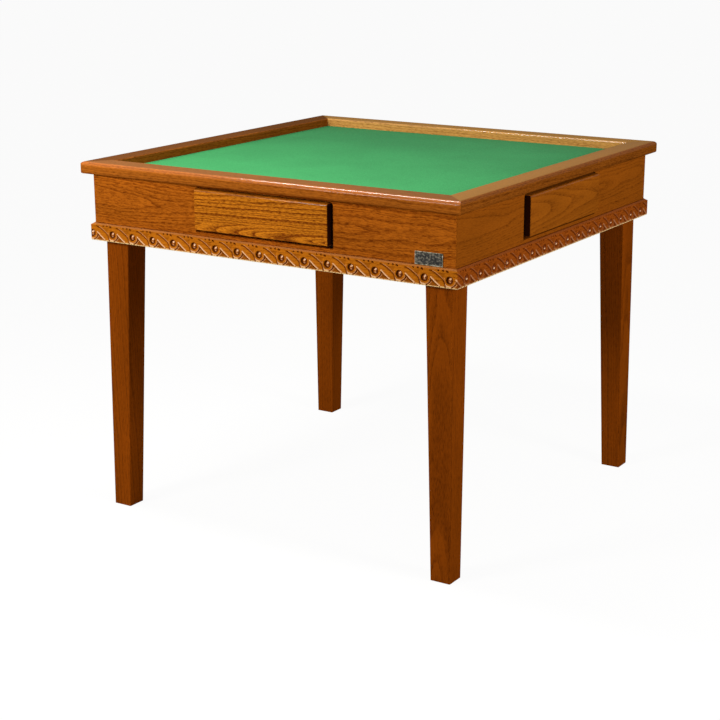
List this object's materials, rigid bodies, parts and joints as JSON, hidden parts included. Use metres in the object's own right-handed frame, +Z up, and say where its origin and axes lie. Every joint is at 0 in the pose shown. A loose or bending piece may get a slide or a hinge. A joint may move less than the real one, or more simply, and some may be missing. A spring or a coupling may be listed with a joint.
{
  "type": "mahjong table",
  "caption": "Square mahjong table with a sunk baize top, raised rounded rim, carved moulding, tapered legs and a sliding drawer in each side.",
  "frame": {"origin": "on the floor under the middle of the table", "axes": "+Z up, front side facing -Y, right side facing +X"},
  "size_m": [0.914, 0.914, 0.765],
  "materials": {
    "stained_wood": "brown stained open-grain hardwood under gloss lacquer",
    "drawer_wood": "golden brown stained hardwood under gloss lacquer",
    "carved_wood": "orange brown stained carved hardwood under gloss lacquer",
    "raw_wood": "unstained softwood, planed",
    "plywood": "unstained plywood, sanded",
    "baize": "green napped wool baize",
    "zinc_plated_steel": "zinc plated",
    "pewter_plate": "dark antiqued metal, bare"
  },
  "bodies": {
    "table": {"front_rim_rail": "stained_wood", "front_apron": "stained_wood", "front_moulding": "carved_wood", "front_drawer_runners": "raw_wood", "front_bearer": "raw_wood", "right_rim_rail": "stained_wood", "right_apron": "stained_wood", "right_moulding": "carved_wood", "right_drawer_runners": "raw_wood", "right_bearer": "raw_wood", "back_rim_rail": "stained_wood", "back_apron": "stained_wood", "back_moulding": "carved_wood", "back_drawer_runners": "raw_wood", "back_bearer": "raw_wood", "left_rim_rail": "stained_wood", "left_apron": "stained_wood", "left_moulding": "carved_wood", "left_drawer_runners": "raw_wood", "left_bearer": "raw_wood", "front_right_leg": "stained_wood", "front_right_corner_block": "raw_wood", "back_right_leg": "stained_wood", "back_right_corner_block": "raw_wood", "back_left_leg": "stained_wood", "back_left_corner_block": "raw_wood", "front_left_leg": "stained_wood", "front_left_corner_block": "raw_wood", "hanger_bolts": "zinc_plated_steel", "washers": "zinc_plated_steel", "wing_nuts": "zinc_plated_steel", "board_cleats": "raw_wood", "drawer_stops": "raw_wood", "playing_board": "plywood", "baize": "baize", "nameplate": "pewter_plate"},
    "front_drawer": {"front_drawer_face": "drawer_wood", "front_drawer_side_a": "raw_wood", "front_drawer_side_b": "raw_wood", "front_drawer_back": "raw_wood", "front_drawer_bottom": "plywood"},
    "right_drawer": {"right_drawer_face": "drawer_wood", "right_drawer_side_a": "raw_wood", "right_drawer_side_b": "raw_wood", "right_drawer_back": "raw_wood", "right_drawer_bottom": "plywood"},
    "back_drawer": {"back_drawer_face": "drawer_wood", "back_drawer_side_a": "raw_wood", "back_drawer_side_b": "raw_wood", "back_drawer_back": "raw_wood", "back_drawer_bottom": "plywood"},
    "left_drawer": {"left_drawer_face": "drawer_wood", "left_drawer_side_a": "raw_wood", "left_drawer_side_b": "raw_wood", "left_drawer_back": "raw_wood", "left_drawer_bottom": "plywood"}
  },
  "joints": [
    {"name": "front_drawer_slide", "type": "slide", "parent": "table", "child": "front_drawer", "axis": [0, -1, 0], "range_m": [0, 0.208]},
    {"name": "right_drawer_slide", "type": "slide", "parent": "table", "child": "right_drawer", "axis": [1, 0, 0], "range_m": [0, 0.208]},
    {"name": "back_drawer_slide", "type": "slide", "parent": "table", "child": "back_drawer", "axis": [0, 1, 0], "range_m": [0, 0.208]},
    {"name": "left_drawer_slide", "type": "slide", "parent": "table", "child": "left_drawer", "axis": [-1, 0, 0], "range_m": [0, 0.208]}
  ]
}
